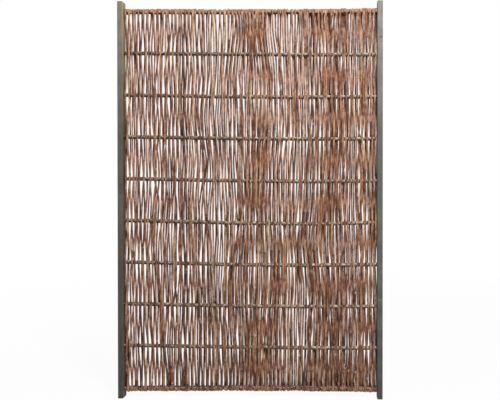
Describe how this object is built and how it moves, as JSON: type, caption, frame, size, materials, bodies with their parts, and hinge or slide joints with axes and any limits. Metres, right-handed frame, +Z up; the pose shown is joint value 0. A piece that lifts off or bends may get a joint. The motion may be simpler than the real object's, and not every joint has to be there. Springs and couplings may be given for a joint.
{
  "type": "woven willow hurdle",
  "caption": "Upright garden fence panel of willow rods woven through round cross rails between two sawn posts, the rods turned over the top and bottom rails.",
  "frame": {"origin": "on the ground, midway between the two posts and midway through their depth", "axes": "+Z up along the posts, +X towards the right-hand post seen from the front, +Y from front to back"},
  "size_m": [1.2, 0.048, 1.8],
  "materials": {
    "post_wood": "weathered, sawn",
    "rail_bark": "dry bark, matt",
    "willow_bark": "dry bark, satin",
    "nail_steel": "dull"
  },
  "bodies": {
    "root": {"left_post": "post_wood", "right_post": "post_wood", "top_rail": "rail_bark", "rail_02": "rail_bark", "rail_03": "rail_bark", "rail_04": "rail_bark", "rail_05": "rail_bark", "rail_06": "rail_bark", "rail_07": "rail_bark", "rail_08": "rail_bark", "rail_09": "rail_bark", "bottom_rail": "rail_bark", "left_post_nails": "nail_steel", "right_post_nails": "nail_steel", "willow_bundle_01": "willow_bark", "willow_bundle_02": "willow_bark", "willow_bundle_03": "willow_bark", "willow_bundle_04": "willow_bark", "willow_bundle_05": "willow_bark", "willow_bundle_06": "willow_bark", "willow_bundle_07": "willow_bark", "willow_bundle_08": "willow_bark", "willow_bundle_09": "willow_bark", "willow_bundle_10": "willow_bark", "willow_bundle_11": "willow_bark", "willow_bundle_12": "willow_bark", "willow_bundle_13": "willow_bark", "willow_bundle_14": "willow_bark", "willow_bundle_15": "willow_bark", "willow_bundle_16": "willow_bark", "willow_bundle_17": "willow_bark", "willow_bundle_18": "willow_bark", "willow_bundle_19": "willow_bark", "willow_bundle_20": "willow_bark", "willow_bundle_21": "willow_bark", "willow_bundle_22": "willow_bark", "willow_bundle_23": "willow_bark", "willow_bundle_24": "willow_bark", "willow_bundle_25": "willow_bark", "willow_bundle_26": "willow_bark", "willow_bundle_27": "willow_bark"}
  },
  "joints": []
}
